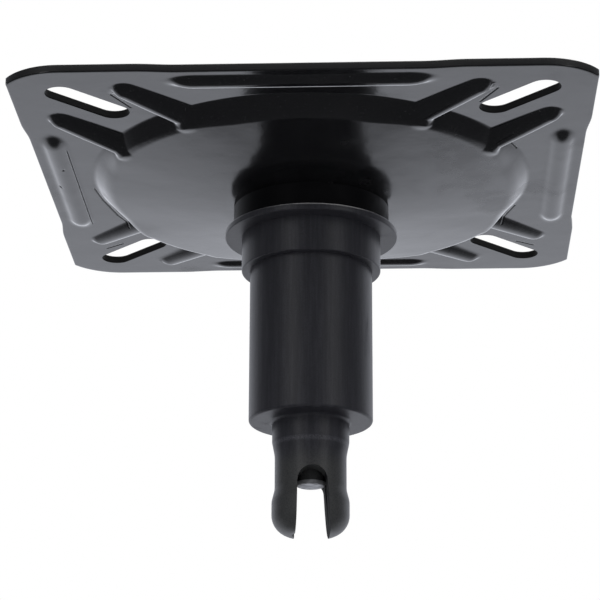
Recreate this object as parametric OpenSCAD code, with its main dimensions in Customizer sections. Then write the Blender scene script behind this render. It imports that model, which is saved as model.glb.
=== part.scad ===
// Swivel seat mount: a pressed square plate over a plug-in post bushing.
// The origin is on the swivel axis, at the flange face that sits on the pedestal tube. +Z is up.

/* [Plate] */
// Side of the square plate, 7 inches
plate_w = 177.8; // [170:0.1:190]
// Thickness of the sheet
plate_t = 2.5; // [2:0.1:3]
// Height of the plate's flat underside above the flange seat
plate_lift = 20.9; // [20:0.1:24]
// Radius of the large arc at each corner
corner_r = 20.5; // [18:0.5:22]
// How far the corner arc starts from the side
corner_in = 16.9; // [16:0.1:17.5]
// How far each side is drawn in beside its rib
pull_in = 1.0; // [0:0.1:1.5]

/* [Dish] */
// Radius of the dish where it leaves the flat
dish_r = 71.3; // [70:0.1:72]
// Radius of the shoulder at the foot of the steep wall
shoulder_r = 65.2; // [64:0.1:66]
// Depth of the shoulder
shoulder_d = 6.2; // [5.5:0.1:7]
// Radius of the flat centre that carries the hub
centre_r = 27; // [26:0.5:30]
// Depth of the flat centre
centre_d = 10.8; // [9.5:0.1:12]
// Bend radius at the rim, on the underside
rim_bend = 2; // [1:0.5:3]
// Bend radius at the shoulder, on the underside
shoulder_bend = 8; // [6:0.5:9]

/* [Finger ribs] */
// Outside radius of a finger rib
finger_r = 3.9; // [3.5:0.1:4.2]
// Height of a finger rib at its outer end
finger_h = 1.9; // [1.5:0.1:2.4]
// Growth in height for each millimetre towards the dish
finger_slope = 0.122; // [0.1:0.001:0.13]
// Distance of the outer end from the swivel axis, along the diagonal
finger_out = 91.5; // [90:0.5:94]
// Distance of the inner end from the swivel axis, along the diagonal
finger_in = 56; // [55:0.5:60]
// Distance of a finger rib from the bolt slot's centre line
finger_off = 16.1; // [15:0.1:17]

/* [Edge ribs] */
// Radius of an edge rib's rounded section
edge_r = 4.4; // [4:0.1:5]
// Height of an edge rib
edge_h = 1.9; // [1.5:0.1:2.2]
// Distance of an edge rib from the swivel axis
edge_off = 80.7; // [80:0.1:81]
// Half the length of an edge rib's straight part
edge_half = 36.4; // [30:0.1:38]

/* [Bolt slots] */
// Width of a bolt slot, 3/8 inch
slot_w = 9.5; // [8:0.1:10]
// Length of a bolt slot from end to end
slot_l = 29.8; // [25:0.1:32]
// Distance of a slot's middle from each centre line of the plate
slot_off = 65.9; // [65:0.1:67]

/* [Hub and pin] */
// Radius of the hub collar
collar_r = 25.4; // [24:0.1:26]
// Gap that lets the collar turn on the flange
turn_gap = 0.1; // [0.05:0.05:0.3]
// Radius of the pin's shank, 3/4 inch across
shank_r = 9.525; // [9:0.005:10]
// Radius of the pin's lower journal
journal_r = 6; // [5.5:0.1:6.5]
// Radius of the pin's nose
nose_r = 3.2; // [3:0.1:3.4]
// Radius of the pin's head above the plate
head_r = 14; // [12:0.5:18]
// Thickness of the pin's head
head_t = 2.6; // [2:0.1:4]
// Radial running clearance between the pin and the bushing
running = 0.07; // [0.02:0.01:0.1]
// Radius of the retaining cap
cap_r = 4.95; // [4.9:0.05:5.2]
// Thickness of the retaining cap
cap_t = 1.1; // [0.8:0.1:1.2]

/* [Bushing] */
// Radius of the flange
flange_r = 28.1; // [27:0.1:29]
// Thickness of the flange
flange_t = 2.3; // [2:0.1:3]
// Radius of the step under the flange
step_r = 22.6; // [22:0.1:23]
// Length of the step
step_l = 11.6; // [10:0.1:13]
// Radius of the body
body_r = 19.85; // [19:0.05:20.5]
// Depth of the body's bottom face below the flange seat
body_d = 62.5; // [60:0.5:65]
// Radius of the collar at the top of the neck
throat_r = 12.3; // [12:0.05:12.8]
// Length of that collar
throat_l = 6.5; // [5:0.1:8]
// Length of the taper from that collar to the neck
throat_run = 4.6; // [2:0.1:6]
// Radius of the neck
neck_r = 11.4; // [11:0.05:11.8]
// Radius of the snap bulb
bulb_r = 12.35; // [12:0.05:12.8]
// Depth at which the neck starts to swell into the bulb
bulb_top = 84.6; // [83:0.1:85]
// Depth at which the bulb reaches its full radius
bulb_full = 88.4; // [86:0.1:89]
// Depth of the tips of the fingers
tip_d = 99.2; // [96:0.1:100]
// Rounding of the bulb's nose
tip_round = 6.5; // [4:0.1:7]
// Width of the split between the fingers
split_w = 9.5; // [9:0.1:9.6]
// How far the left finger stands out of true at its tip
spread_left = 0.3; // [0:0.1:2]
// How far the right finger stands out of true at its tip
spread_right = 1.3; // [0:0.1:2]
// Depth of the centre of the split's round top
split_d = 83.7; // [83:0.1:84]
// Turn of the split about the swivel axis, in degrees
split_turn = 5.5; // [0:0.5:10]

/* [Hidden] */
$fn = 96;
over = 1;
neck_top = body_d + throat_l + throat_run;
half_w = plate_w / 2;
corner_c = [half_w - corner_in, half_w - corner_r];
rib_wall = 2;
// the underside of the dish, from the flat to the axis
dish_line = [
    [dish_r + 12, 0], [dish_r, 0], [shoulder_r, -shoulder_d], [centre_r, -centre_d], [0, -centre_d]
];
dish_bends = [0, rim_bend, shoulder_bend, 6, 0];
collar_low = flange_t + turn_gap;
collar_high = plate_lift - centre_d;
head_low = collar_high + plate_t;
shank_end = -57;
journal_end = -72.2;
cap_high = -82.2;
cap_low = cap_high - cap_t;
core_r = 4.6;
core_end = -82.1;
pocket_r = 5.7;
pocket_top = -77.5;
shoulder_gap = 0.3;

function unit(v) = v / norm(v);
// the left-hand normal of a step of a line, which points up here because the line runs inwards
function up(a, b) = let (u = unit(b - a)) [u[1], -u[0]];

// a corner moved sideways by d together with both its neighbours' lines
function moved(line, i, d) =
    i == 0 ? line[0] + d * up(line[0], line[1]) :
    i == len(line) - 1 ? line[i] + d * up(line[i - 1], line[i]) :
    let (n = up(line[i - 1], line[i]), m = up(line[i], line[i + 1])) line[i] + d * (n + m) / (1 + n * m);

// a corner b between a and c rounded with radius r in n steps
function bend(a, b, c, r, n = 6) =
    r <= 0 ? [b] :
    let (
        u = unit(a - b), v = unit(c - b),
        half = acos(u * v) / 2,
        centre = b + unit(u + v) * r / sin(half),
        p = b + u * r / tan(half) - centre,
        q = b + v * r / tan(half) - centre,
        start = atan2(p[1], p[0]),
        turn = atan2(p[0] * q[1] - p[1] * q[0], p * q)
    )
    [for (k = [0:n]) centre + r * [cos(start + turn * k / n), sin(start + turn * k / n)]];

// which way a line turns at a corner: 1 where the sheet's top is the inside of the bend
function turn_side(line, i) =
    let (u = line[i] - line[i - 1], v = line[i + 1] - line[i]) sign(u[1] * v[0] - u[0] * v[1]);

// the dish's line moved up by d, with its bends kept concentric
function dish_surface(d) =
    let (moved_line = [for (i = [0:len(dish_line) - 1]) moved(dish_line, i, d)])
    [for (i = [0:len(dish_line) - 1]) each
        i == 0 || i == len(dish_line) - 1 ? [moved_line[i]] :
        bend(moved_line[i - 1], moved_line[i], moved_line[i + 1],
            dish_bends[i] - turn_side(dish_line, i) * d)];

// how much of the pull-in applies at distance s along a side
function drawn(s) =
    let (full = edge_half, none = edge_half + 14)
    abs(s) <= full ? 1 : abs(s) >= none ? 0 : (1 + cos(180 * (abs(s) - full) / (none - full))) / 2;

// the outline of one corner, from the side that faces +X round to the side that faces +Y
function corner_arc() =
    let (first = acos(corner_in / corner_r))
    [for (k = [0:8]) let (a = first + (90 - first) * k / 8) corner_c + corner_r * [cos(a), sin(a)]];

function x_side() = [for (s = [-48:6:48]) [half_w - pull_in * drawn(s), s]];
function y_side() = [for (s = [48:-6:-48]) [s, half_w - pull_in * drawn(s)]];
function mirrored(points, sx, sy) = [for (p = points) [sx * p[0], sy * p[1]]];
function reversed(points) = [for (i = [len(points) - 1:-1:0]) points[i]];

plate_outline = concat(
    x_side(), corner_arc(),
    y_side(), reversed(mirrored(corner_arc(), -1, 1)),
    mirrored(x_side(), -1, -1), mirrored(corner_arc(), -1, -1),
    mirrored(y_side(), -1, -1), reversed(mirrored(corner_arc(), 1, -1))
);

// the solid under a dish surface that is moved up by d, closed at height top
module dish_form(d, top) {
    surface_line = dish_surface(d);
    last = len(surface_line) - 1;
    rotate_extrude()
        polygon(concat(
            [[0, top], [surface_line[0][0], top]],
            d == 0 ? [for (i = [1:last]) surface_line[i]] : surface_line
        ));
}

// a round-ended trough along a finger rib, open upwards
module finger_trough(r) {
    run = finger_out - finger_in;
    drop = run * finger_slope;
    length = norm([run, drop]);
    translate([finger_out, 0, finger_r - finger_h])
        rotate([0, 180, 0])
            rotate([0, atan(finger_slope) * -1, 0]) {
                sphere(r);
                rotate([0, 90, 0]) cylinder(r = r, h = length);
                translate([0, -r, -12]) cube([length, 2 * r, 12]);
                translate([0, 0, -12]) cylinder(r = r, h = 12);
            }
}

// a round bar with ball ends along an edge, its axis at height z
module edge_bar(z) {
    translate([edge_off, 0, z]) {
        rotate([90, 0, 0]) cylinder(r = edge_r, h = 2 * edge_half, center = true);
        for (s = [-1, 1]) translate([0, s * edge_half, 0]) sphere(edge_r);
    }
}

module at_fingers() {
    for (quarter = [0:3])
        rotate([0, 0, 45 + 90 * quarter])
            for (s = [-1, 1]) translate([0, s * finger_off, 0]) children();
}

module at_edges() {
    for (quarter = [0:3]) rotate([0, 0, 90 * quarter]) children();
}

module bolt_slot() {
    reach = slot_l / 2 - slot_w / 2;
    translate([slot_off * sqrt(2), 0, -over]) {
        for (s = [-1, 1]) translate([s * reach, 0, 0]) cylinder(d = slot_w, h = plate_t + 2 * over);
        translate([-reach, -slot_w / 2, 0]) cube([2 * reach, slot_w, plate_t + 2 * over]);
    }
}

// one pressed sheet: the ribs and the dish stand down from the underside and are hollow above
module seat_plate() {
    color([0.13, 0.13, 0.14])
    translate([0, 0, plate_lift])
    difference() {
        union() {
            linear_extrude(plate_t) polygon(plate_outline);
            dish_form(0, plate_t / 2);
            intersection() {
                union() {
                    at_fingers() finger_trough(finger_r);
                    at_edges() edge_bar(edge_r - edge_h);
                }
                translate([-half_w, -half_w, plate_t / 2 - 20]) cube([plate_w, plate_w, 20]);
            }
        }
        dish_form(plate_t, plate_t + over);
        at_fingers() finger_trough(finger_r - rib_wall);
        at_edges() edge_bar(edge_r - edge_h + plate_t);
        at_edges() rotate([0, 0, 45]) bolt_slot();
        translate([0, 0, -centre_d - over]) cylinder(r = shank_r, h = plate_t + 2 * over);
    }
}

// the turned ring that carries the plate on the flange
module hub_collar() {
    color([0.06, 0.06, 0.07])
    rotate_extrude()
        polygon(concat(
            [[shank_r, collar_low]],
            bend([shank_r, collar_low], [collar_r, collar_low], [collar_r, collar_high], 0.5),
            [[collar_r, collar_high], [shank_r, collar_high]]
        ));
}

// the stepped pin: head, shank, journal and nose
module swivel_pin() {
    head_high = head_low + head_t;
    color([0.35, 0.35, 0.37])
    rotate_extrude()
        polygon(concat(
            [[0, head_high]],
            bend([0, head_high], [head_r, head_high], [head_r, head_low], 0.8),
            [[head_r, head_low], [shank_r, head_low]],
            bend([shank_r, head_low], [shank_r, shank_end], [journal_r, shank_end], 1),
            bend([shank_r, shank_end], [journal_r, shank_end], [journal_r, journal_end], 0.4),
            bend([journal_r, shank_end], [journal_r, journal_end], [nose_r, journal_end], 0.8),
            bend([journal_r, journal_end], [nose_r, journal_end], [nose_r, cap_low], 0.3),
            [[nose_r, cap_low], [0, cap_low]]
        ));
}

// the disc that the pin's nose is peened flush into
module retaining_cap() {
    color([0.62, 0.62, 0.64])
    rotate_extrude()
        polygon(concat(
            [[nose_r, cap_high], [cap_r, cap_high]],
            bend([cap_r, cap_high], [cap_r, cap_low], [nose_r, cap_low], 0.3),
            [[nose_r, cap_low]]
        ));
}

// the outside of the bushing, from the flange down to the tips
bushing_outside = concat(
    bend([0, flange_t], [flange_r, flange_t], [flange_r, 0], 0.9),
    bend([flange_r, flange_t], [flange_r, 0], [step_r, 0], 0.4),
    [[step_r, 0]],
    bend([step_r, 0], [step_r, -step_l], [body_r, -step_l], 0.5),
    [[body_r, -step_l]],
    bend([body_r, -step_l], [body_r, -body_d], [throat_r, -body_d], 0.9),
    bend([body_r, -body_d], [throat_r, -body_d], [throat_r, -body_d - throat_l], 1),
    bend([throat_r, -body_d], [throat_r, -body_d - throat_l], [neck_r, -neck_top], 4),
    bend([throat_r, -body_d - throat_l], [neck_r, -neck_top], [neck_r, -bulb_top], 12),
    bend([neck_r, -neck_top], [neck_r, -bulb_top], [bulb_r, -bulb_full], 6),
    bend([neck_r, -bulb_top], [bulb_r, -bulb_full], [bulb_r, -tip_d], 6),
    bend([bulb_r, -bulb_full], [bulb_r, -tip_d], [0, -tip_d], tip_round, 12)
);

// the bores, the core tube round the pin's nose and the pocket round the core
bushing_inside = [
    [pocket_r, -tip_d], [pocket_r, pocket_top], [core_r, pocket_top], [core_r, core_end],
    [nose_r + running, core_end], [nose_r + running, journal_end - shoulder_gap],
    [journal_r + running, journal_end - shoulder_gap], [journal_r + running, shank_end - shoulder_gap],
    [shank_r + running, shank_end - shoulder_gap], [shank_r + running, flange_t]
];

// the split that frees the two snap fingers, with a round top
module split() {
    low = tip_d + over;
    rotate([0, 0, split_turn])
        rotate([90, 0, 0])
            linear_extrude(4 * bulb_r, center = true)
                union() {
                    translate([0, -split_d]) circle(d = split_w);
                    polygon([
                        [-split_w / 2, -split_d], [split_w / 2, -split_d],
                        [split_w / 2 + spread_right, -low], [-split_w / 2 - spread_left, -low]
                    ]);
                }
}

// one moulding: flange, step, body, neck and two snap fingers
module post_bushing() {
    color([0.16, 0.16, 0.18])
    difference() {
        rotate_extrude() polygon(concat(bushing_outside, bushing_inside));
        difference() {
            split();
            translate([0, 0, core_end]) cylinder(r = core_r, h = 20);
        }
    }
}

seat_plate();
hub_collar();
swivel_pin();
retaining_cap();
post_bushing();
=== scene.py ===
# %% [markdown]
# # A swivel seat mount, dressed for its portrait
#
# The object is a square plate of pressed black steel that bolts under a seat, and a black plastic
# post bushing that plugs into a pedestal tube. The solids come ready-made, in metres, with the
# swivel axis on Z and the flange's seating face at height zero. This lesson gives them the softly
# pressed shapes of the real sheet, the finish of each material, and a plain studio. Lengths are
# written in millimetres, and MM turns them into metres; only the studio's are in metres.

# %% Load the solids
import math

import bmesh
import bpy
import numpy as np
from mathutils import Euler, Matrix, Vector


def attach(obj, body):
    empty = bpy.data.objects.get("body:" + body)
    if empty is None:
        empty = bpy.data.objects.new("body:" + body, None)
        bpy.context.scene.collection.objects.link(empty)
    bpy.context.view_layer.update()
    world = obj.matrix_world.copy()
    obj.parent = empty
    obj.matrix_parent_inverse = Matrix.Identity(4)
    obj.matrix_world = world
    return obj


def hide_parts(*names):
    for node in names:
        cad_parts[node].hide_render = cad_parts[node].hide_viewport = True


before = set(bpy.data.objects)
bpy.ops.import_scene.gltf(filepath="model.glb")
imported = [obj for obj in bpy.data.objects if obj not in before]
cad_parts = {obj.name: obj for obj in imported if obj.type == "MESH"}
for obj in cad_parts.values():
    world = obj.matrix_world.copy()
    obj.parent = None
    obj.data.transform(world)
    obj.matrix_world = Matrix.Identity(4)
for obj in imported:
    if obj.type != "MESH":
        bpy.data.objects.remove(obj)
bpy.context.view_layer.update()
print("solids:", sorted(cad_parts))

# %% [markdown]
# ## The camera
#
# The picture was taken from below and in front, from about 0.8 m away. A long lens keeps the post's
# sides nearly parallel. The lens and the place below were solved from the plate's edges, its bolt
# slots and the rings of the post, so nothing here is adjusted by eye.

# %% Camera
MM = 0.001
ROOT2 = math.sqrt(2)
PICTURE = 600
SENSOR = 36
FOCAL_PIXELS = 2432.3
CAMERA_AT = (29.7, -745.8, -277.4)
CAMERA_TURN = (108.964, -0.204, 2.485)

camera_data = bpy.data.cameras.new("camera")
camera = bpy.data.objects.new("camera", camera_data)
bpy.context.scene.collection.objects.link(camera)
camera_data.sensor_width = SENSOR
camera_data.lens = FOCAL_PIXELS * SENSOR / PICTURE
camera.location = [a * MM for a in CAMERA_AT]
camera.rotation_euler = Euler([math.radians(a) for a in CAMERA_TURN], "XYZ")
bpy.context.scene.camera = camera
print(f"lens {camera_data.lens:.1f} mm at {camera.location.length:.3f} m from the origin")

# %% [markdown]
# ## The dish as a bent line
#
# The plate is a single sheet, 2.5 mm thick, that a press has pushed down in a round dish, eight
# finger ribs and four edge ribs. A modeller could join solids for the ribs, but a real pressing has
# no hard joints: every rib runs into the flat through a small fillet, and the fingers melt into the
# dish. So the underside is worked out as a depth at each point of the plan. The dish comes first:
# a line bent at its rim and its shoulder, and turned about the axis. In the names, R stands for a
# radius and D for a depth below the flat.

# %% Depth of the dish
RIM_R = 71.3
SHOULDER_R, SHOULDER_D = 66.2, 5.6
CENTRE_R, CENTRE_D = 27.0, 10.8
BEYOND_R = 300.0
DISH_BENDS = (30, 5.5, 2.0)
STEEPER_R = 40.0
SHOULDER_OUT, OUT_FROM, OUT_OVER = 2.7, 17, 15


def ease(u):
    """Zero up to 0, one from 1 on, and 3 u u - 2 u u u between, which starts and ends level."""
    u = np.clip(u, 0, 1)
    return u * u * (3 - 2 * u)


def bent_line(r, knots, radii):
    """Depth along straight pieces through the knots. At each inner knot a parabola touches both
    pieces; it is as long as a bend of the given radius, so its middle is about as tight."""
    slopes = np.diff(knots[:, 1]) / np.diff(knots[:, 0])
    depth = knots[0, 1] + slopes[0] * (r - knots[0, 0])
    for knot, before, after, radius in zip(knots[1:-1, 0], slopes[:-1], slopes[1:], radii):
        reach = radius * abs(math.atan(after) - math.atan(before)) / 2
        u = np.clip((r - knot + reach) / (2 * reach), 0, None)
        depth = depth + (after - before) * np.where(u < 1, reach * u * u, r - knot)
    return depth


def dish_depth(x, y):
    """Depth of the dish: flat centre, shallow cone, rounded shoulder, steep wall and rounded rim.
    Towards the plate's diagonals the shoulder moves out and the wall gets steeper: there r is first
    carried, in two straight pieces that meet at the shoulder, to the r of the plain section."""
    r = np.hypot(x, y)
    smaller, larger = np.minimum(np.abs(x), np.abs(y)), np.maximum(np.abs(x), np.abs(y))
    turn = np.degrees(np.arctan2(smaller, larger))
    shoulder = SHOULDER_R + SHOULDER_OUT * ease((turn - OUT_FROM) / OUT_OVER)
    inside = STEEPER_R + (r - STEEPER_R) * (SHOULDER_R - STEEPER_R) / (shoulder - STEEPER_R)
    outside = RIM_R - (RIM_R - r) * (RIM_R - SHOULDER_R) / (RIM_R - shoulder)
    plain = np.select([r < STEEPER_R, r < shoulder, r < RIM_R], [r, inside, outside], r)
    knots = np.array([[0, CENTRE_D], [CENTRE_R, CENTRE_D], [SHOULDER_R, SHOULDER_D],
                      [RIM_R, 0], [BEYOND_R, 0]])
    return bent_line(plain, knots, DISH_BENDS)


radii = np.array([10, 50, 65, 68, 71, 80.])
print("dish depth at r 10, 50, 65, 68, 71, 80:", dish_depth(radii, 0 * radii).round(2))

# %% [markdown]
# ## The ribs as sections
#
# Across a rib the steel follows a round crest and two small fillets at its feet. One function gives
# that section for a distance from the crest line. Round a rib's end the distance to the end point
# takes over, so the end closes like half a dome. The fingers get taller towards the dish, as the
# tool's slope has it, and the plan is folded to one diagonal, so one rib serves for all eight. The
# ribs on the far side, which the press struck less hard, are shallower and rounder.

# %% Depth of the ribs
FINGER_OFF, FINGER_END, FINGER_R, FINGER_FILLET = 15.7, 91.5, 3.8, 1.3
TIP_D, DEEPER_PER_MM, LEAST_D, MOST_D = 2.8, 0.092, 1.5, 6.2
FADE_FROM, FADE_OVER, FADE_LEAST = 60, 8.5, 0.001
FINGER_FAR_SHARE, FINGER_FAR_OVER = 0.42, 30
EDGE_OFF, EDGE_HALF, EDGE_R, EDGE_FILLET, EDGE_D = 80.7, 36.4, 4.4, 2.6, 1.9
EDGE_STRAIGHT, EDGE_TAPER = 32.0, 0.5
EDGE_FAR_SHARE, EDGE_FAR_FROM, EDGE_FAR_OVER = 0.4, 45, 20
SHORT_OF_ROUND = 0.1


def rib_section(d, deep, radius, fillet):
    """Depth at distance d from the crest: a circle for the crest, a fillet circle at each foot that
    touches the crest circle and the flat. A rib that is deeper than its radius, less a little, is
    the deepest such section stretched."""
    low = np.minimum(deep, radius - SHORT_OF_ROUND)
    drop = radius - low
    foot = np.sqrt((radius + fillet) ** 2 - (fillet + drop) ** 2)
    touch = foot * radius / (radius + fillet)
    crest = np.sqrt(np.clip(radius ** 2 - d ** 2, 0, None)) - drop
    skirt = fillet - np.sqrt(np.clip(fillet ** 2 - np.clip(foot - d, 0, None) ** 2, 0, None))
    return np.where(d < touch, crest, skirt) * deep / low


def finger_depth(x, y):
    """Depth of the finger ribs, with the plan folded to one diagonal: t outwards, s across. Inside
    the dish's shoulder a rib fades out, but never quite, as its section divides by its depth."""
    t = (np.abs(x) + np.abs(y)) / ROOT2
    s = np.abs(np.abs(x) - np.abs(y)) / ROOT2 - FINGER_OFF
    fade = ease(np.maximum((t - FADE_FROM) / FADE_OVER, FADE_LEAST))
    deep = np.clip(TIP_D + DEEPER_PER_MM * (FINGER_END - t), LEAST_D, MOST_D) * fade
    far = np.clip(y / FINGER_FAR_OVER, 0, 1)
    d = np.hypot(s, np.clip(t - FINGER_END, 0, None))
    return rib_section(d, deep * (1 - FINGER_FAR_SHARE * far), FINGER_R + far, FINGER_FILLET)


def edge_depth(x, y):
    """Depth of the edge ribs, with the plan folded to one side: a outwards, b along. Past the end
    of the straight part the distance along counts only half, so the end is a long taper."""
    a, b = np.maximum(np.abs(x), np.abs(y)), np.minimum(np.abs(x), np.abs(y))
    far = np.clip((y - EDGE_FAR_FROM) / EDGE_FAR_OVER, 0, 1)
    past = EDGE_TAPER * np.clip(b - EDGE_STRAIGHT, 0, None)
    d = np.hypot(a - EDGE_OFF, past)
    return rib_section(d, EDGE_D * (1 - EDGE_FAR_SHARE * far), EDGE_R, EDGE_FILLET)


near_crest = [way * (np.array([90, 80, 70.]) + way * FINGER_OFF) / ROOT2 for way in (1, -1)]
print("near finger's depth on its crest at t 90, 80, 70:", finger_depth(*near_crest).round(2))

# %% [markdown]
# ## One sheet from all of them
#
# Where two pressed shapes meet, the sheet follows the deeper one and rounds the corner between
# them. A smooth maximum does just that. The underside's slopes give its normal, and the top is
# the same surface moved one thickness along that normal, so the sheet has the same thickness
# everywhere, as a pressing has.

# %% The pressed underside
SHEET = 2.5
FLAT_Z = 20.9
CROSSING = 4.4
SLOPE_STEP = 0.01


def smooth_max(a, b, k):
    """The larger of two depths with its crossing rounded: where they differ by less than k, the
    square of what is missing, over 4 k, is added. k is never more than the depth, so that two
    flat places stay flat."""
    k = np.clip(np.maximum(a, b), 1e-6, k)
    return np.maximum(a, b) + np.clip(k - np.abs(a - b), 0, None) ** 2 / (4 * k)


def press_depth(x, y):
    """Depth of the whole pressing below the flat underside."""
    ribs = np.maximum(finger_depth(x, y), edge_depth(x, y))
    return smooth_max(dish_depth(x, y), ribs, CROSSING)


def sheet_point(x, y, up):
    """A point of the sheet, moved by up along the normal of its underside. The normal comes from
    the depth's slopes: the difference of two depths, over the two steps between them."""
    e = SLOPE_STEP
    slope_x = (press_depth(x + e, y) - press_depth(x - e, y)) / (2 * e)
    slope_y = (press_depth(x, y + e) - press_depth(x, y - e)) / (2 * e)
    normal = np.stack([slope_x, slope_y, np.ones_like(slope_x)], -1)
    normal /= np.linalg.norm(normal, axis=-1, keepdims=True)
    return np.stack([x, y, FLAT_Z - press_depth(x, y)], -1) + up * normal


print("lowest underside:", sheet_point(np.array([20.]), np.array([0.]), 0.0).round(2))

# %% [markdown]
# ## The outline
#
# The plate's sides are straight, but the press draws each of them in by a millimetre beside its
# rib. Each corner is one large arc, and not quite an even one: it runs on smoothly into one side
# and meets the other at a faint vertex, as in the picture.

# %% Outline of the plate
HALF = 88.9
CORNER_R, CORNER_X, CORNER_Y = 20.5, 72.0, 68.4
DRAWN_IN, DRAWN_OVER = 1.0, 14
VERTEX_S = (HALF - CORNER_Y - math.sqrt(CORNER_R ** 2 - (HALF - CORNER_X) ** 2)) / ROOT2
TANGENT_S = (CORNER_X - HALF) / ROOT2


def drawn_in(s):
    """How far a side is drawn in at distance s from its middle: all the way along its rib, then by
    half a cosine back to nothing past the rib's end."""
    u = np.clip((np.abs(s) - EDGE_HALF) / DRAWN_OVER, 0, 1)
    return DRAWN_IN * (1 + np.cos(np.pi * u)) / 2


def corner_reach(s):
    """Distance along the diagonal to the outline, on the line that lies s beside the diagonal: the
    side that faces X, the corner's arc, or the side that faces Y."""
    mid_t, mid_s = (CORNER_X + CORNER_Y) / ROOT2, (CORNER_X - CORNER_Y) / ROOT2
    arc = mid_t + np.sqrt(np.clip(CORNER_R ** 2 - (s - mid_s) ** 2, 0, None))
    side = HALF * ROOT2 - np.abs(s)
    return np.where((s >= VERTEX_S) | (s <= TANGENT_S), side, arc)


print(f"corner arc from s {TANGENT_S:.2f} to s {VERTEX_S:.2f},",
      f"reach at s 0: {corner_reach(0.0):.2f}")

# %% [markdown]
# ## A grid that follows the shapes
#
# A square grid would cut across every rib and show it as a staircase. Here the grid's columns leave
# a circle in the dish and reach the outline. Beside a corner they run parallel to the diagonal, as
# the fingers do, and they are close together across each finger. One quarter is worked out, with
# each column's start on the circle and its end on the outline. The other three are mirror images.

# %% Columns of the grid
CORE_R = 58.0
CORNER_BAND = 22.0
FINGER_SIDES = (20.8, 10.6)
EDGE_RIB_ENDS = (33, 46)


def steps(*stops):
    """Numbers between stops, from stop, count, stop, count, ... stop, without the last stop."""
    return np.concatenate([np.linspace(stops[i], stops[i + 2], stops[i + 1], endpoint=False)
                           for i in range(0, len(stops) - 2, 2)])


def side_columns():
    """Columns of half the side that faces X: the start's angle grows evenly with the end's y. They
    are closest together where the edge rib tapers off."""
    y_end = HALF - CORNER_BAND * ROOT2
    taper, flat = EDGE_RIB_ENDS
    y = steps(0, 11, taper, 15, flat, 8, y_end)
    angle = (math.pi / 4 - math.asin(CORNER_BAND / CORE_R)) * y / y_end
    start = CORE_R * np.stack([np.cos(angle), np.sin(angle)], 1)
    return start, np.stack([HALF - drawn_in(y), y], 1)


def on_diagonal(t, s):
    """Plan points from t along a corner's diagonal and s beside it, both turned by 45 degrees."""
    return np.stack([(t + s) / ROOT2, (t - s) / ROOT2], 1)


def corner_columns():
    """Columns of a corner, parallel to the diagonal, from the side that faces X round to Y."""
    outer, inner = FINGER_SIDES
    s = steps(CORNER_BAND, 2, outer, 26, inner, 6, VERTEX_S, 17, -inner, 1, TANGENT_S, 24, -outer,
              2, -CORNER_BAND)
    s = np.append(s, -CORNER_BAND)
    return on_diagonal(np.sqrt(CORE_R ** 2 - s ** 2), s), on_diagonal(corner_reach(s), s)


def all_columns():
    """Starts and ends of every column, anticlockwise: each quarter is a side's half, a corner and
    the mirrored half of the next side; quarters two to four are mirror images."""
    quarter = [np.concatenate([side, corner, side[:0:-1, ::-1]])
               for side, corner in zip(side_columns(), corner_columns())]
    top = [side[:1, ::-1] for side in side_columns()]
    half = [np.concatenate([q, t, q[:0:-1] * [-1, 1]]) for q, t in zip(quarter, top)]
    return [np.concatenate([h, -h]) for h in half]


starts, ends = all_columns()
print("columns:", len(starts))

# %% [markdown]
# Then the rows. From the dish outwards they are circles, close together over the shoulder and the
# rim; from the edge inwards they are copies of the outline, close together over the edge ribs. The
# rows between them share the room that is left. Each row is a distance along every column. The top
# needs fewer rows, but not at the fingers' ends: there a narrow fillet of the underside fans out,
# by the sheet's thickness, to a fold three times as wide.

# %% Rows of the grid
HOLE_R = 9.525
ROUND = 0.35
BAND = 13
BAND_BENDS_AT, BAND_BENDS_OVER = 14, 6


def grid_rows(circles, band, middle=1):
    """Plan points [row, column, xy]: first on circles of the given radii, then evenly spaced middle
    rows, then rows that lie the given distances inside the outline. Beside a corner a column meets
    the side at 45 degrees, so a distance is longer along it, and on the corner's arc it isn't."""
    run = ends - starts
    length = np.linalg.norm(run, axis=1)
    run /= length[:, None]
    mid = np.sum(starts * run, 1)
    circles = np.asarray(circles, float)[:, None]
    inner = starts[None] * (np.minimum(circles, CORE_R) / CORE_R)[..., None]
    past = np.sqrt(mid ** 2 + np.maximum(circles, CORE_R) ** 2 - CORE_R ** 2) - mid
    circle_rows = inner + past[..., None] * run
    beside = np.abs(np.diff(np.abs(ends), axis=1))[:, 0] / ROOT2
    slant = 1 / np.abs(run).max(1)
    slant += (1 - slant) * np.clip((BAND_BENDS_AT - beside) / BAND_BENDS_OVER, 0, 1)
    band_at = length - np.asarray(band, float)[:, None] * slant
    share = (np.arange(1, middle + 1) / (middle + 1))[:, None]
    middle_at = past[-1] + (band_at[0] - past[-1]) * share
    outer_at = np.concatenate([middle_at, band_at])
    return np.concatenate([circle_rows, starts + outer_at[..., None] * run])


circles = np.concatenate([[HOLE_R, 14, 18], steps(20, 7, 34), [38, 46, 54],
                          steps(CORE_R, 2, 63.4, 9, 67.2, 10, 70.6, 8, 72.4), [72.4, 73.2]])
under_band = np.append(np.arange(BAND, 0.6, -0.5), ROUND)
over_band = np.concatenate([np.arange(BAND, 10, -0.5), np.arange(10, 0.6, -1), [ROUND]])
under = grid_rows(circles, under_band, middle=26)
over = grid_rows(np.append(circles[:-1:2], circles[-1]), over_band, middle=27)
print("rows under and over:", len(under), len(over))

# %% [markdown]
# ## The closed sheet
#
# The section through the sheet is one closed ring of rows: along the underside to the edge, round
# the edge, back along the top, and down the wall of the centre hole. Every column repeats it, so
# the grid closes on itself both ways, with no seam left open and every face pointing outwards.

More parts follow.
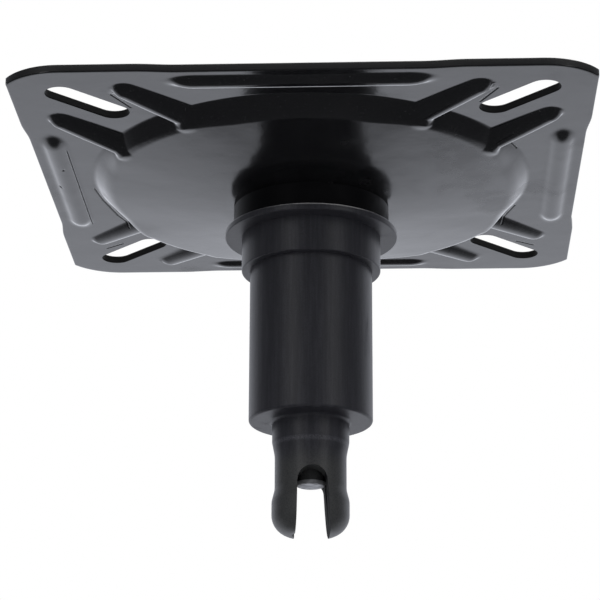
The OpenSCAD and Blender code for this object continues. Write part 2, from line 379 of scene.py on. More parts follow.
# %% Mesh of the sheet
def edge_rows(top):
    """The edge's small round: a quarter circle from the face into the edge's wall, at the underside
    or at the top."""
    turn = np.radians([90, 60, 30] if top else [30, 60, 90])
    inset = ROUND * (1 - np.sin(turn))
    plan = grid_rows([CORE_R], np.append(BAND, inset))[-len(turn):]
    lift = ROUND * (1 - np.cos(turn))
    z = FLAT_Z + (SHEET - lift if top else lift)
    return at_heights(plan, z)


def at_heights(plan, z):
    """Points [row, column, xyz] from plan points [row, column, xy] and a height for each row."""
    return np.concatenate([plan, np.broadcast_to(z[:, None, None], plan.shape[:2] + (1,))], -1)


def new_piece(name, points, faces, material, body=None, slot=None):
    """A mesh piece from points in millimetres, smooth-shaded, riding on a body if one is given."""
    mesh = bpy.data.meshes.new(name)
    mesh.from_pydata((np.asarray(points) * MM).tolist(), [], np.asarray(faces).tolist())
    mesh.polygons.foreach_set("use_smooth", np.ones(len(mesh.polygons), bool))
    mesh.materials.append(material)
    piece = bpy.data.objects.new(name, mesh)
    bpy.context.scene.collection.objects.link(piece)
    if body:
        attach(piece, body)
    return piece


def grid_faces(rows, columns, close_rows=False, close_columns=False):
    """Quads of a grid of points, row by row. A grid that closes on itself has quads between its
    last row and its first, or its last column and its first, as well."""
    r, c = np.meshgrid(np.arange(rows - (not close_rows)), np.arange(columns - (not close_columns)),
                       indexing="ij")
    r2, c2 = (r + 1) % rows, (c + 1) % columns
    corners = [r * columns + c, r * columns + c2, r2 * columns + c2, r2 * columns + c]
    return np.stack(corners, -1).reshape(-1, 4)


def finish_material(name, base, roughness):
    """A new Principled finish with its nodes ready for more. The colour and the roughness are its
    plain values, which hold until nodes are linked to them."""
    material = bpy.data.materials.new(name)
    material.use_nodes = True
    shader = material.node_tree.nodes["Principled BSDF"]
    shader.inputs["Base Color"].default_value = (*base, 1)
    shader.inputs["Roughness"].default_value = roughness
    return material, material.node_tree, shader


lower = sheet_point(under[..., 0], under[..., 1], 0.0)
upper = sheet_point(over[..., 0], over[..., 1], SHEET)[::-1]
section = np.concatenate([lower, edge_rows(False), edge_rows(True), upper])
black_paint, paint_tree, paint = finish_material("gloss_black_paint", (0.012, 0.012, 0.013), 0.18)
faces = grid_faces(*section.shape[:2], close_rows=True, close_columns=True)
plate = new_piece("pressed_plate", section.reshape(-1, 3), faces, black_paint, "seat_side",
                  "black_paint")
print("grid of the sheet:", section.shape[:2], "lowest and highest:",
      section[..., 2].min().round(2), section[..., 2].max().round(2))

# %% [markdown]
# ## The bolt slots
#
# Each slot is punched through the flat with rounded ends, and its rims are a little broken. Cutting
# it with a Boolean keeps the sheet's grid simple. The cutter is a stadium outline carried through
# the sheet, a little wider at both faces, so that one cut makes the hole and its two soft rims.

# %% Cut the slots
SLOT_W, SLOT_L, SLOT_AT = 9.5, 29.8, 65.9
SLOT_HALF = (SLOT_L - SLOT_W) / 2
BROKEN, FLARE, PAST_FACE, ARC_POINTS = 0.3, 0.45, 2, 17
NEAR_SLOT, HARD_DEGREES = 5.7, 35


def stadium_cutter(turn):
    """A closed stadium prism on one diagonal: a straight-sided outline with half-circle ends is
    moved outwards by a small amount at each height, and its two ends are capped by flat faces."""
    arc = np.radians(np.linspace(-90, 90, ARC_POINTS))
    round_end = np.stack([np.cos(arc), np.sin(arc)], 1)
    way = np.concatenate([round_end, -round_end])
    middle = np.repeat([[1.0, 0.0], [-1.0, 0.0]], ARC_POINTS, axis=0) * SLOT_HALF
    below = np.array([-PAST_FACE, -FLARE, 0, BROKEN])
    heights = FLAT_Z + np.concatenate([below, SHEET - below[::-1]])
    wider = np.array([BROKEN + FLARE, BROKEN + FLARE, BROKEN, 0])
    grown = SLOT_W / 2 + np.concatenate([wider, wider[::-1]])
    flat = middle[None] + grown[:, None, None] * way[None] + [SLOT_AT * ROOT2, 0]
    c, s = math.cos(turn), math.sin(turn)
    points = at_heights(flat @ np.array([[c, s], [-s, c]]), heights)
    rows, n = points.shape[:2]
    caps = [list(range(n))[::-1], list(range((rows - 1) * n, rows * n))]
    return points.reshape(-1, 3), grid_faces(rows, n, close_columns=True).tolist() + caps


def cut_away(piece, points, faces):
    """Take a closed shape out of a piece for good."""
    mesh = bpy.data.meshes.new("cutter")
    mesh.from_pydata((np.asarray(points) * MM).tolist(), [], faces)
    cutter = bpy.data.objects.new("cutter", mesh)
    bpy.context.scene.collection.objects.link(cutter)
    cut = piece.modifiers.new("cut", "BOOLEAN")
    cut.operation, cut.solver, cut.object = "DIFFERENCE", "EXACT", cutter
    bpy.context.view_layer.update()
    graph = bpy.context.evaluated_depsgraph_get()
    done = bpy.data.meshes.new_from_object(piece.evaluated_get(graph))
    piece.modifiers.remove(cut)
    piece.data = done
    bpy.data.objects.remove(cutter)


def off_slot_lines(plan):
    """Distance of plan points, in millimetres, from the nearest slot's middle line. The plan is
    folded to one quarter; there the line runs along the diagonal, SLOT_HALF to both sides of the
    slot's middle, and each point is measured from the nearest place on it."""
    plan = np.abs(plan)
    along = np.clip(plan.sum(1) / ROOT2 - SLOT_AT * ROOT2, -SLOT_HALF, SLOT_HALF)
    return np.linalg.norm(plan - (SLOT_AT + along / ROOT2)[:, None], axis=1)


def hard_rims(mesh):
    """Shade an edge hard where its faces meet at a sharp angle, but only beside the slots, so that
    the pressed shapes stay soft everywhere. Gives the number of hard edges."""
    mesh.set_sharp_from_angle(angle=math.radians(HARD_DEGREES))
    points = np.empty(len(mesh.vertices) * 3, np.float32)
    pairs = np.empty(len(mesh.edges) * 2, np.int32)
    sharp = np.empty(len(mesh.edges), bool)
    mesh.vertices.foreach_get("co", points)
    mesh.edges.foreach_get("vertices", pairs)
    mesh.attributes["sharp_edge"].data.foreach_get("value", sharp)
    middle = points.reshape(-1, 3)[pairs.reshape(-1, 2)].mean(1)
    sharp &= off_slot_lines(middle[:, :2] / MM) < NEAR_SLOT
    mesh.attributes["sharp_edge"].data.foreach_set("value", sharp)
    return int(sharp.sum())


cutters = [stadium_cutter(math.radians(45 + 90 * quarter)) for quarter in range(4)]
shift = np.cumsum([0] + [len(points) for points, _ in cutters])
cut_away(plate, np.concatenate([points for points, _ in cutters]),
         [[int(i + at) for i in face] for (_, faces), at in zip(cutters, shift) for face in faces])
print("hard edges round the slots:", hard_rims(plate.data))

# %% [markdown]
# ## The plate stands for its solid
#
# The pressed sheet now takes the place of the plain solid. It is also left out of mirrored rays. In
# the picture the enamel mirrors the pale backdrop right up to the feet of its own pressed walls.
# Bent walls that mirror each other could be lit with more lamps to get there, but leaving the
# plate out is simpler and steadier: no flat then shows the dark wall beside it as a black band.

# %% Stand in for the solid
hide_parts("seat_plate")
plate.visible_glossy = False
plate.data.calc_loop_triangles()
print("plate triangles:", len(plate.data.loop_triangles))

# %% [markdown]
# ## Building blocks for finishes
#
# A finish is a small network of nodes: noise gives a value at each place, a smooth ramp turns it
# into a mask, and masks blend colours, roughness and bumps. A painter would reach for a picture of
# scratches instead, but a network has no seams and no borders, and it holds at any distance. These
# helpers keep each finish below to a few lines.

# %% Helpers for the finishes
def add(tree, kind, *sources, **values):
    """A node of the given kind. Its first inputs are linked to the sources, in order. A value whose
    name is one of the node's own properties sets that; any other sets the input of that name."""
    node = tree.nodes.new("ShaderNode" + kind)
    for socket, source in zip(node.inputs, sources):
        tree.links.new(source, socket)
    for key, value in values.items():
        if hasattr(node, key):
            setattr(node, key, value)
        else:
            node.inputs[key.replace("_", " ")].default_value = value
    return node


def noise(tree, where, scale, detail=3.0, roughness=0.5):
    """Noise at a place, with its scale in cells per metre."""
    node = add(tree, "TexNoise", where, Scale=scale, Detail=detail, Roughness=roughness)
    return node.outputs["Fac"]


def ramp(tree, value, low, high, to_low=0.0, to_high=1.0):
    """A value's range from low to high, spread smoothly over another range."""
    return add(tree, "MapRange", value, interpolation_type="SMOOTHSTEP", From_Min=low,
               From_Max=high, To_Min=to_low, To_Max=to_high).outputs["Result"]


def falling(tree, value, low, high):
    """One below low, nothing above high, and smooth between them."""
    return ramp(tree, value, low, high, 1, 0)


def blend_colours(tree, share, first, second):
    """A colour between two, by share. Each is a colour or a node's output."""
    node = add(tree, "Mix", share, data_type="RGBA")
    for socket, colour in ((node.inputs[6], first), (node.inputs[7], second)):
        if isinstance(colour, tuple):
            socket.default_value = (*colour, 1)
        else:
            tree.links.new(colour, socket)
    return node.outputs[2]


def combine(tree, operation, first, second):
    """Arithmetic on two values, each a number or a node's output."""
    node = add(tree, "Math", operation=operation)
    for socket, value in zip(node.inputs, (first, second)):
        if isinstance(value, (int, float)):
            socket.default_value = value
        else:
            tree.links.new(value, socket)
    return node.outputs[0]


def times(tree, first, second):
    """The product of two values: of two masks, the part that both cover."""
    return combine(tree, "MULTIPLY", first, second)


def larger_of(tree, first, second):
    """The larger of two values: of two masks, everything that either covers."""
    return combine(tree, "MAXIMUM", first, second)


def bump(tree, height, distance, strength, under=None):
    """A bump from a height, over another bump if one is given. Distance is the bump's full height
    in metres."""
    node = add(tree, "Bump", Strength=strength, Distance=distance)
    tree.links.new(height, node.inputs["Height"])
    if under:
        tree.links.new(under, node.inputs["Normal"])
    return node.outputs["Normal"]


def split_up(tree, vector):
    """The three parts of a vector."""
    return add(tree, "SeparateXYZ", vector).outputs


def stretched(tree, where, along_xy, along_z):
    """A place with its plan and its height scaled. A scale below 1 draws a noise out along it."""
    return add(tree, "Mapping", where, Scale=(along_xy, along_xy, along_z)).outputs[0]


driven = {"Base Color", "Roughness", "Metallic", "Normal"} & set(paint.inputs.keys())
print("inputs that the finishes drive:", sorted(driven))

# %% [markdown]
# ## Marks on the sheet
#
# The plate carries the small marks of the press and of handling: a scored line, creases where the
# sheet was drawn over the dish's rim and beside the slots, and a few nicks. Cut into the mesh they
# would need a far finer grid, so each is the distance to a short line of the plan, turned into a
# groove a few tenths of a millimetre deep, on the underside alone.

# %% Lines drawn on the plate
SCORED = [((-77.2, -29), (-77.2, 38), 0.35)]
LEFT_CREASE = [((-72.5, 5), (-71, 15), 0.6), ((-71, 15), (-67.5, 30), 0.7),
               ((-67.5, 30), (-64.5, 38), 0.6)]
RIGHT_CREASES = [((68, 25), (64, 38), 0.6), ((66.5, 24), (62.5, 36), 0.4),
                 ((63.5, -33), (66.5, -26), 0.5)]
NICKS = [((-83, -0.4), (-83, 0.4), 0.9), ((-80, -16.4), (-80, -15.6), 0.7)]
BESIDE_SLOTS = [((-53, -62), (-58, -72), 0.6), ((54, -63), (59, -73), 0.6),
                ((-75, 62.5), (-69, 58), 0.6), ((70, 60), (76, 64), 0.6)]
PLATE_MARKS = SCORED + LEFT_CREASE + RIGHT_CREASES + NICKS + BESIDE_SLOTS


def line_distance(tree, flat, start, end):
    """Distance in metres from the stretch between two plan points, given in millimetres: the offset
    from its start, less the part along it, which is held between its two ends."""
    along = np.array([*np.subtract(end, start), 0]) * MM
    offset = add(tree, "VectorMath", flat, operation="SUBTRACT")
    offset.inputs[1].default_value = np.array([*start, 0]) * MM
    share = add(tree, "VectorMath", offset.outputs[0], operation="DOT_PRODUCT")
    share.inputs[1].default_value = along / (along @ along)
    held = add(tree, "Clamp", share.outputs["Value"])
    part = add(tree, "VectorMath", operation="SCALE")
    part.inputs[0].default_value = along
    tree.links.new(held.outputs[0], part.inputs["Scale"])
    rest = add(tree, "VectorMath", offset.outputs[0], part.outputs[0], operation="DISTANCE")
    return rest.outputs["Value"]


def marks_on(tree, flat, marks):
    """The deepest of several marks. Each is two plan points and a half width; it is 1 on its line
    and falls to nothing at its half width."""
    total = 0.0
    for start, end, half_width in marks:
        mark = falling(tree, line_distance(tree, flat, start, end), 0, half_width * MM)
        total = larger_of(tree, total, mark)
    return total


print("marks on the plate:", len(PLATE_MARKS))

# %% [markdown]
# ## Enamel
#
# The plate is dipped in gloss black enamel: near black, smooth, with a faint orange peel, and with
# dust and rubbed patches that change the roughness more than the colour. Fine noise gives the peel
# as a bump, and wider noise gives shallow dents and blends the rubbed patches. The punched walls of
# the slots and the sheared edge of the sheet are rougher, as a cut leaves them. The grooves of the
# marks and the slot walls are also darkened in colour: that is painted shade.

# %% Gloss black enamel
ENAMEL, RUBBED_ENAMEL = (0.009, 0.009, 0.010), (0.014, 0.014, 0.015)
DUST_GREY, GROOVE_AND_SLOT_SHADE = (0.05, 0.05, 0.05), (0.004, 0.004, 0.004)
ENAMEL_IOR = 1.6
ROUGH_CLEAN, ROUGH_RUBBED, ROUGH_MARK, ROUGH_PUNCHED, ROUGH_EDGE = 0.14, 0.3, 0.6, 0.95, 0.55
PEEL, DENTS = dict(scale=520, detail=2.0), dict(scale=45, detail=2.0)
RUBS, DUST = dict(scale=28, detail=5.0, roughness=0.6), dict(scale=1900, detail=1.0)
PEEL_HIGH, DENT_HIGH, GROOVE_DEEP = 0.04 * MM, 0.6 * MM, 0.4 * MM
PUNCHED_REACH = ((SLOT_W / 2 + 0.1) * MM, (SLOT_W / 2 + 0.4) * MM)

where = add(paint_tree, "TexCoord").outputs["Object"]
flat = stretched(paint_tree, where, 1, 0)
quarter = add(paint_tree, "VectorMath", flat, operation="ABSOLUTE").outputs[0]
facing_up = split_up(paint_tree, add(paint_tree, "NewGeometry").outputs["Normal"])[2]

slot_ends = [[SLOT_AT + way * SLOT_HALF / ROOT2] * 2 for way in (-1, 1)]
off_slot = line_distance(paint_tree, quarter, *slot_ends)
punched = falling(paint_tree, off_slot, *PUNCHED_REACH)
faces_down = falling(paint_tree, facing_up, -0.1, 0.0)
marked = times(paint_tree, marks_on(paint_tree, flat, PLATE_MARKS), faces_down)
edge = falling(paint_tree, combine(paint_tree, "ABSOLUTE", facing_up, 0.0), 0.12, 0.24)
rubbed = ramp(paint_tree, noise(paint_tree, where, **RUBS), 0.5, 0.72)
dusty = ramp(paint_tree, noise(paint_tree, where, **DUST), 0.7, 0.78)

peel = bump(paint_tree, noise(paint_tree, where, **PEEL), PEEL_HIGH, 0.5)
dent = bump(paint_tree, noise(paint_tree, where, **DENTS), DENT_HIGH, 0.35, under=peel)
groove = bump(paint_tree, times(paint_tree, marked, -1.0), GROOVE_DEEP, 0.8, under=dent)
paint_tree.links.new(groove, paint.inputs["Normal"])

rough = ramp(paint_tree, rubbed, 0, 1, ROUGH_CLEAN, ROUGH_RUBBED)
for mask, roughness in ((marked, ROUGH_MARK), (punched, ROUGH_PUNCHED), (edge, ROUGH_EDGE)):
    rough = larger_of(paint_tree, rough, times(paint_tree, mask, roughness))
paint_tree.links.new(rough, paint.inputs["Roughness"])

tone = blend_colours(paint_tree, rubbed, ENAMEL, RUBBED_ENAMEL)
tone = blend_colours(paint_tree, dusty, tone, DUST_GREY)
# Painted shade: the marks' grooves and the punched slot walls are darkened.
tone = blend_colours(paint_tree, larger_of(paint_tree, marked, punched), tone, GROOVE_AND_SLOT_SHADE)
paint_tree.links.new(tone, paint.inputs["Base Color"])
paint.inputs["IOR"].default_value = ENAMEL_IOR
print("enamel nodes:", len(paint_tree.nodes))

# %% [markdown]
# ## Nylon
#
# The bushing is moulded from a black, slightly blue nylon. A mould's satin texture is a fine bump,
# and handling leaves long rubbed marks down the body, so two noises are stretched along Z. The
# colour turns greyer towards the snap end, a ring of pale specks round the neck also stands for the
# highlight on the neck's downward slope, and the walls inside the split are painted near black as
# shade: the plan is turned square to the split to find them.

# %% Moulded nylon
SPLIT_TURN = 5.5
NYLON, SCUFFED_NYLON, STREAK = (0.036, 0.036, 0.044), (0.056, 0.056, 0.067), (0.066, 0.066, 0.078)
END_GREY_NYLON, MOTTLE, SPECK_AND_HIGHLIGHT = (0.092, 0.094, 0.089), (0.022, 0.022, 0.027), (0.13, 0.13, 0.15)
SPLIT_SHADE = (0.004, 0.004, 0.005)
NYLON_ROUGH, SCUFFED_ROUGH, SPLIT_ROUGH = 0.42, 0.58, 0.9
GRAIN, RIPPLE = dict(scale=1600, detail=2.0), dict(scale=160, detail=2.0)
SCUFFS, SCUFF_TALL = dict(scale=130, detail=5.0, roughness=0.65), 0.16
STREAKS, STREAK_TALL = dict(scale=900, detail=3.0, roughness=0.7), 0.04
MOTTLES, SPECKLES = dict(scale=2600, detail=2.0), dict(scale=3600, detail=2.0)
GRAIN_HIGH, RIPPLE_HIGH = 0.03 * MM, 0.2 * MM
SPLIT_SIDE, SPLIT_TOP, END_GREY_DOWN = (6.2 * MM, 6.6 * MM), (78 * MM, 79 * MM), (72 * MM, 80 * MM)
SPECKS_DOWN, SPECKS_REACH = 70.2 * MM, (0.2 * MM, 1.1 * MM)


def square_to_split(tree, way):
    """A vector's parts across the split, along it and up, in size: the vector is turned back by the
    split's own turn and its signs are dropped."""
    turned = add(tree, "Mapping", way, vector_type="VECTOR",
                 Rotation=(0, 0, math.radians(-SPLIT_TURN)))
    size = add(tree, "VectorMath", turned.outputs[0], operation="ABSOLUTE")
    return split_up(tree, size.outputs[0])


nylon, nylon_tree, nylon_shader = finish_material("moulded_nylon", (0.02, 0.02, 0.024), 0.42)
where = add(nylon_tree, "TexCoord").outputs["Object"]
across, _, down = square_to_split(nylon_tree, where)
faces_across = square_to_split(nylon_tree, add(nylon_tree, "NewGeometry").outputs["Normal"])[0]

# Painted shade: the walls inside the split get a near-black colour and a high roughness.
in_split = times(nylon_tree, falling(nylon_tree, across, *SPLIT_SIDE),
                 ramp(nylon_tree, down, *SPLIT_TOP))
in_split = times(nylon_tree, in_split, ramp(nylon_tree, faces_across, 0.75, 0.9))
# Pale specks in a ring round the neck: partly dust, partly a painted highlight on its downward
# slope.
off_ring = combine(nylon_tree, "SUBTRACT", down, SPECKS_DOWN)
off_ring = combine(nylon_tree, "ABSOLUTE", off_ring, 0.0)
specks_and_highlight = ramp(nylon_tree, noise(nylon_tree, where, **SPECKLES), 0.3, 0.8)
specks_and_highlight = times(nylon_tree, falling(nylon_tree, off_ring, *SPECKS_REACH), specks_and_highlight)
scuffed = noise(nylon_tree, stretched(nylon_tree, where, 1, SCUFF_TALL), **SCUFFS)
scuffed = ramp(nylon_tree, scuffed, 0.52, 0.8)
streaks = noise(nylon_tree, stretched(nylon_tree, where, 1, STREAK_TALL), **STREAKS)
streaks = times(nylon_tree, ramp(nylon_tree, streaks, 0.4, 0.68), 0.5)
# Lighter grey towards the snap end.
lighter_end = times(nylon_tree, ramp(nylon_tree, down, *END_GREY_DOWN), 0.75)
mottle = times(nylon_tree, ramp(nylon_tree, noise(nylon_tree, where, **MOTTLES), 0.45, 0.65), 0.4)

grain = bump(nylon_tree, noise(nylon_tree, where, **GRAIN), GRAIN_HIGH, 0.5)
ripple = bump(nylon_tree, noise(nylon_tree, where, **RIPPLE), RIPPLE_HIGH, 0.25, under=grain)
nylon_tree.links.new(ripple, nylon_shader.inputs["Normal"])

tone = blend_colours(nylon_tree, scuffed, NYLON, SCUFFED_NYLON)
for mask, colour in ((streaks, STREAK), (lighter_end, END_GREY_NYLON), (mottle, MOTTLE), (specks_and_highlight, SPECK_AND_HIGHLIGHT),
                     (in_split, SPLIT_SHADE)):
    tone = blend_colours(nylon_tree, mask, tone, colour)
nylon_tree.links.new(tone, nylon_shader.inputs["Base Color"])
rough = ramp(nylon_tree, scuffed, 0, 1, NYLON_ROUGH, SCUFFED_ROUGH)
rough = larger_of(nylon_tree, rough, times(nylon_tree, in_split, SPLIT_ROUGH))
nylon_tree.links.new(rough, nylon_shader.inputs["Roughness"])
print("nylon nodes:", len(nylon_tree.nodes))

# %% [markdown]
# ## Collar, pin and washer
#
# The collar is turned steel under dull black paint. A lathe leaves rings, so its noise is drawn out
# in plan and changes mostly with height. Its colour is darker than the enamel's: partly the dull
# paint, partly painted shade for its place between the dish and the flange. The washer and the
# pin's end are bare steel: their noise takes the distance from the axis as a coordinate and so is
# made of true rings. Above the bare end the pin has dark paint, and the change of metal and colour
# is one mask of the height.

# %% Painted collar and bare steel
COLLAR_BLACK_AND_SHADE, COLLAR_WORN, COLLAR_SPECULAR = (0.004, 0.004, 0.005), (0.007, 0.007, 0.008), 0.08
STEEL, DULL_STEEL, PIN_PAINT = (0.56, 0.56, 0.57), (0.46, 0.46, 0.47), (0.022, 0.018, 0.019)
COLLAR_ROUGH, STEEL_ROUGH, WASHER_METAL = (0.5, 0.65), (0.5, 0.62), 0.5
PATCHES, COLLAR_TURNING = dict(scale=120, detail=4.0), dict(scale=900, detail=3.0)
DULLING, STEEL_TURNING = dict(scale=500, detail=4.0), dict(scale=2600, detail=3.0)
COLLAR_FLAT, COLLAR_HIGH, STEEL_HIGH = 0.15, 0.05 * MM, 0.03 * MM
PAINT_ENDS, PAINT_FADES = -82.0, 0.4

collar_paint, tree, shader = finish_material("satin_black_collar", (0.005, 0.005, 0.006), 0.6)
where = add(tree, "TexCoord").outputs["Object"]
turned = noise(tree, stretched(tree, where, COLLAR_FLAT, 1), **COLLAR_TURNING)
patches = ramp(tree, noise(tree, where, **PATCHES), 0.4, 0.7)
tree.links.new(bump(tree, turned, COLLAR_HIGH, 0.5), shader.inputs["Normal"])
tree.links.new(ramp(tree, patches, 0, 1, *COLLAR_ROUGH), shader.inputs["Roughness"])
# Painted shade: the collar's colour is darker than the enamel's, for the shade between dish and
# flange.
tree.links.new(blend_colours(tree, patches, COLLAR_BLACK_AND_SHADE, COLLAR_WORN), shader.inputs["Base Color"])
shader.inputs["Specular IOR Level"].default_value = COLLAR_SPECULAR


def bare_steel(name, painted_above=None):
    """Turned steel: light grey, metallic, with fine rings and dull patches. The rings are noise at
    the point (distance from the axis, 0, height). Above the given height, in millimetres, the steel
    is painted dark instead."""
    material, tree, shader = finish_material(name, (0.5, 0.5, 0.51), 0.4)
    where = add(tree, "TexCoord").outputs["Object"]
    x, y, z = split_up(tree, where)
    squares = combine(tree, "ADD", times(tree, x, x), times(tree, y, y))
    ring = add(tree, "CombineXYZ", combine(tree, "SQRT", squares, 0.0))
    tree.links.new(z, ring.inputs["Z"])
    rings = noise(tree, ring.outputs[0], **STEEL_TURNING)
    dull = ramp(tree, noise(tree, where, **DULLING), 0.35, 0.7)
    tone = blend_colours(tree, dull, STEEL, DULL_STEEL)
    tree.links.new(bump(tree, rings, STEEL_HIGH, 0.6), shader.inputs["Normal"])
    tree.links.new(ramp(tree, dull, 0, 1, *STEEL_ROUGH), shader.inputs["Roughness"])
    if painted_above is None:
        shader.inputs["Metallic"].default_value = WASHER_METAL
    else:
        painted = ramp(tree, z, painted_above * MM, (painted_above + PAINT_FADES) * MM)
        tone = blend_colours(tree, painted, tone, PIN_PAINT)
        tree.links.new(falling(tree, painted, 0, 1), shader.inputs["Metallic"])
    tree.links.new(tone, shader.inputs["Base Color"])
    return material


pin_steel = bare_steel("pin_steel_and_paint", PAINT_ENDS)
washer_steel = bare_steel("bare_washer_steel")
finishes = {"hub_collar": collar_paint, "post_bushing": nylon, "seat_plate": black_paint,
            "swivel_pin": pin_steel, "retaining_cap": washer_steel}
for node_name, finish in finishes.items():
    for material_slot in bpy.data.objects[node_name].material_slots:
        material_slot.material = finish
print("finishes:", {name: finish.name for name, finish in finishes.items()})

# %% [markdown]
# ## The peened washer
#
# The hammer that peened the pin also rounded the washer's rim, so its side rolls over into its
# face. A bevelled cylinder would show two hard lines there; here one section, with a quarter of an
# ellipse for the rim, is turned round the axis.

# %% Turned washer
WASHER_R, WASHER_HOLE, WASHER_TOP, WASHER_FACE = 4.95, 3.2, -82.2, -83.3
ROLL_IN, ROLL_UP, ROLL_POINTS = 1.1, 0.95, 10
WASHER_COLUMNS, WASHER_HARD_DEGREES = 96, 40


def turned_ring(profile, count):
    """Points of a closed section turned round the Z axis: (r, z) becomes (r cos a, r sin a, z) for
    a whole number of equal angles a."""
    angle = np.linspace(0, 2 * np.pi, count, endpoint=False)
    r, z = profile[:, :1], profile[:, 1:]
    height = np.broadcast_to(z, (len(profile), count))
    return np.stack([r * np.cos(angle), r * np.sin(angle), height], -1)


lean = np.radians(np.linspace(0, 90, ROLL_POINTS))
rim_r = WASHER_R - ROLL_IN * (1 - np.cos(lean))
rim_z = WASHER_FACE + ROLL_UP * (1 - np.sin(lean))
inside = [[WASHER_R, WASHER_TOP], [WASHER_HOLE, WASHER_TOP], [WASHER_HOLE, WASHER_FACE]]
ring = turned_ring(np.concatenate([inside, np.stack([rim_r, rim_z], 1)[::-1]]), WASHER_COLUMNS)
faces = grid_faces(*ring.shape[:2], close_rows=True, close_columns=True)
washer = new_piece("peened_washer", ring.reshape(-1, 3), faces, washer_steel, "seat_side",
                   "bare_steel")
washer.data.set_sharp_from_angle(angle=math.radians(WASHER_HARD_DEGREES))
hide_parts("retaining_cap")
for piece in (plate, washer):
    shell = bmesh.new()
    shell.from_mesh(piece.data)
    volume = shell.calc_volume(signed=True) / MM ** 3
    shell.free()
    print(f"{piece.name}: {volume:.1f} mm3, positive when its faces point outwards")

# %% [markdown]
# ## The studio paper
#
# The object hangs above a pale floor that sweeps up behind it, as paper on a roll does, so no
# corner shows. Gloss black shows only what it mirrors, so the room is what paints it: white behind
# and low, dim in front. That brightness is a function of the direction alone, so the paper and the
# room beyond it give the same one to mirrored rays. Seen by the camera, the paper turns plain
# white away from the object.

# %% Floor and backdrop
FLOOR_Z = -1.3
PAPER_HALF, PAPER_FRONT, BEND_Y, BEND_R = 4, -4, 1.2, 0.45
WALL_FROM, WALL_TO = 0.1, 1.25
FLOOR_ROWS, BEND_ROWS, WALL_ROWS, PAPER_COLUMNS = 26, 19, 8, 41
PAPER_GREY, PAPER_ROUGH = (0.8, 0.8, 0.8), 0.9
WHITE_FROM, WHITE_TO = 1.33, 1.62
DIM, BRIGHT, COOL_WHITE = 0.10, 1.04, (0.95, 0.98, 1.07)
LOW_RISE, HIGH_FALL, BEHIND = (-0.83, -0.42), (0.5, 0.75), (0.1, 0.9)


def sweep_surface():
    """The studio paper: a profile in Y and Z (a flat floor, a quarter circle, an upright wall)
    carried along X."""
    turn = np.radians(np.linspace(0, 90, BEND_ROWS))
    floor = np.linspace(PAPER_FRONT, BEND_Y, FLOOR_ROWS + 1)[:-1]
    wall = np.linspace(WALL_FROM, WALL_TO, WALL_ROWS)
    y = np.concatenate([floor, BEND_Y + BEND_R * np.sin(turn), np.full(WALL_ROWS, BEND_Y + BEND_R)])
    z = FLOOR_Z + np.concatenate([0 * floor, BEND_R * (1 - np.cos(turn)), BEND_R + wall])
    x, y = np.meshgrid(np.linspace(-PAPER_HALF, PAPER_HALF, PAPER_COLUMNS), y)
    return at_heights(np.stack([x, y], -1), z).reshape(-1, 3) / MM, grid_faces(*x.shape)


def room_glow(tree, way):
    """How bright the room is in a direction: white behind the object, from 25 degrees below the
    horizon to 30 above it, and by soft ramps dim to the sides, straight down, overhead and in
    front. The height is that of the unit direction; the way round is measured on the direction
    with its height taken out."""
    unit = add(tree, "VectorMath", way, operation="NORMALIZE").outputs[0]
    height = split_up(tree, unit)[2]
    level = add(tree, "VectorMath", stretched(tree, way, 1, 0), operation="NORMALIZE").outputs[0]
    upright = times(tree, ramp(tree, height, *LOW_RISE), falling(tree, height, *HIGH_FALL))
    share = times(tree, upright, ramp(tree, split_up(tree, level)[1], *BEHIND))
    return ramp(tree, share, 0, 1, DIM, BRIGHT)


def glow(tree, strength, colour=(1.0, 1.0, 1.0)):
    """Light from a surface, of a given or computed strength."""
    node = add(tree, "Emission", Color=(*colour, 1))
    if isinstance(strength, float):
        node.inputs["Strength"].default_value = strength
    else:
        tree.links.new(strength, node.inputs["Strength"])
    return node.outputs[0]


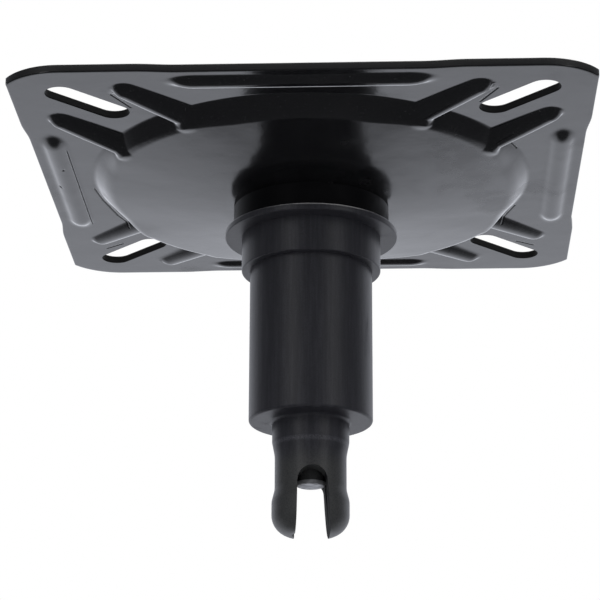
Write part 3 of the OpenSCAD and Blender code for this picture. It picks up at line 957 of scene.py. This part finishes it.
paper, paper_tree, paper_shader = finish_material("studio_paper", PAPER_GREY, PAPER_ROUGH)
studio = new_piece("studio_sweep", *sweep_surface(), paper)
where = add(paper_tree, "TexCoord").outputs["Object"]
far = add(paper_tree, "VectorMath", where, operation="LENGTH").outputs["Value"]
rays = add(paper_tree, "LightPath").outputs
mirrored = glow(paper_tree, room_glow(paper_tree, where), COOL_WHITE)
fade = times(paper_tree, ramp(paper_tree, far, WHITE_FROM, WHITE_TO), rays["Is Camera Ray"])
seen = add(paper_tree, "MixShader", fade, paper_shader.outputs[0], glow(paper_tree, 1.0)).outputs[0]
all_seen = add(paper_tree, "MixShader", rays["Is Glossy Ray"], seen, mirrored).outputs[0]
paper_tree.links.new(all_seen, paper_tree.nodes["Material Output"].inputs["Surface"])
print("studio paper:", len(studio.data.polygons), "faces, floor at", FLOOR_Z, "m")

# %% [markdown]
# ## The room around
#
# Beyond the paper the world carries on: white to the camera, the same glow to mirrored rays, and a
# dim, slightly cool fill to everything else. Two tall soft lamps at the sides draw the bright lines
# down the post, and a wide one overhead stands for the ceiling's light.

# %% Room and lamps
FILL = (0.20, 0.205, 0.22)
WHITE, BLACK = (1.0, 1.0, 1.0), (0.0, 0.0, 0.0)
AIM = (0, 0, -0.04)

world = bpy.data.worlds.new("room")
bpy.context.scene.world = world
world.use_nodes = True
room = world.node_tree
backdrop = room.nodes["Background"]
rays = add(room, "LightPath").outputs
mirrored = room_glow(room, add(room, "TexCoord").outputs["Generated"])
mirrored = blend_colours(room, mirrored, BLACK, COOL_WHITE)
level = blend_colours(room, rays["Is Glossy Ray"], FILL, mirrored)
level = blend_colours(room, rays["Is Camera Ray"], level, WHITE)
room.links.new(level, backdrop.inputs["Color"])
backdrop.inputs["Strength"].default_value = 1.0


def soft_lamp(name, place, aim, width, height, watts):
    """An area lamp at a place, turned to face a point."""
    data = bpy.data.lights.new(name, "AREA")
    data.shape, data.size, data.size_y, data.energy = "RECTANGLE", width, height, watts
    lamp = bpy.data.objects.new(name, data)
    lamp.location = place
    lamp.rotation_euler = (Vector(aim) - Vector(place)).to_track_quat("-Z", "Y").to_euler()
    bpy.context.scene.collection.objects.link(lamp)
    return lamp


lamps = [soft_lamp("left_strip", (-0.80, -1.27, 0.25), AIM, width=0.30, height=1.5, watts=2.5),
         soft_lamp("right_strip", (1.04, -1.08, 0.25), AIM, width=0.40, height=1.5, watts=2.5),
         soft_lamp("overhead", (0.2, 0.1, 1.6), (0, 0, 0), width=1.4, height=1.4, watts=22)]
print("lamps:", {lamp.name: f"{lamp.data.energy:.1f} W" for lamp in lamps})

# %% [markdown]
# ## Finish
#
# The picture's colours go straight to the screen, so the view transform is Standard.

# %% Finish
bpy.context.scene.view_settings.view_transform = "Standard"
